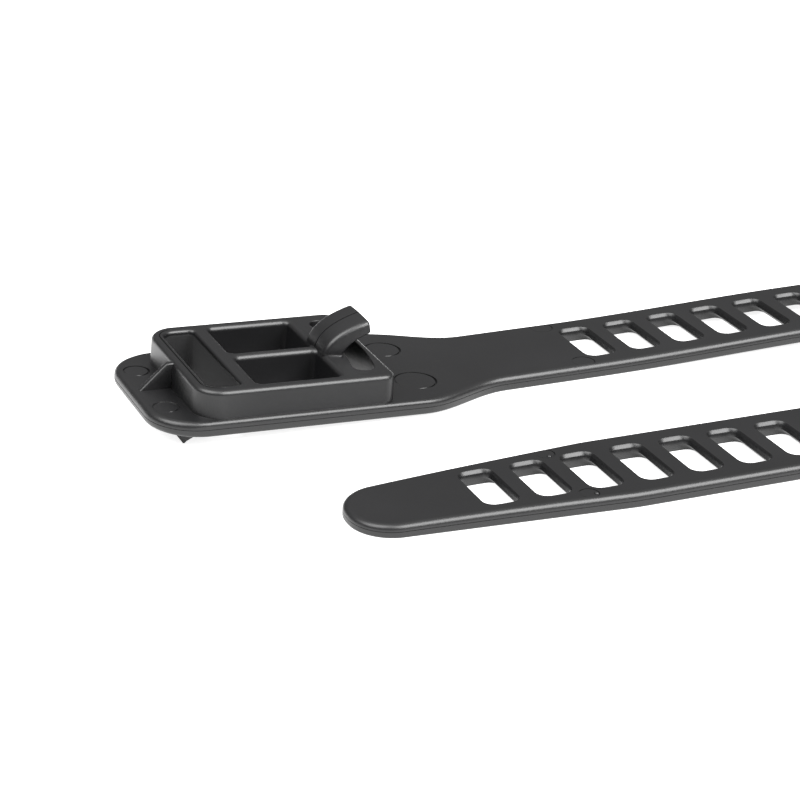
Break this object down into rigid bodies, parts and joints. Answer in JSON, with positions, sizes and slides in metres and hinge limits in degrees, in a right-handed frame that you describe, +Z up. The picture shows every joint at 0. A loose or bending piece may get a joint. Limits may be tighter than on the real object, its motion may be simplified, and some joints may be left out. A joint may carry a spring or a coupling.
{
  "type": "releasable cable tie",
  "caption": "Soft one-piece releasable cable tie: a moulded head with a hook and a threading slot, and a long ladder strap that loops back beside it.",
  "frame": {"origin": "on the underside of the plain strap, on its centre line, midway between the neck and the first slot", "axes": "+X along the strap away from the head, +Y across it on the side away from the tail, +Z up from the table the tie lies on"},
  "size_m": [0.2827, 0.1033, 0.029],
  "materials": {
    "strap_plastic": "satin"
  },
  "bodies": {
    "root": {"cable_tie": "strap_plastic"}
  },
  "joints": []
}
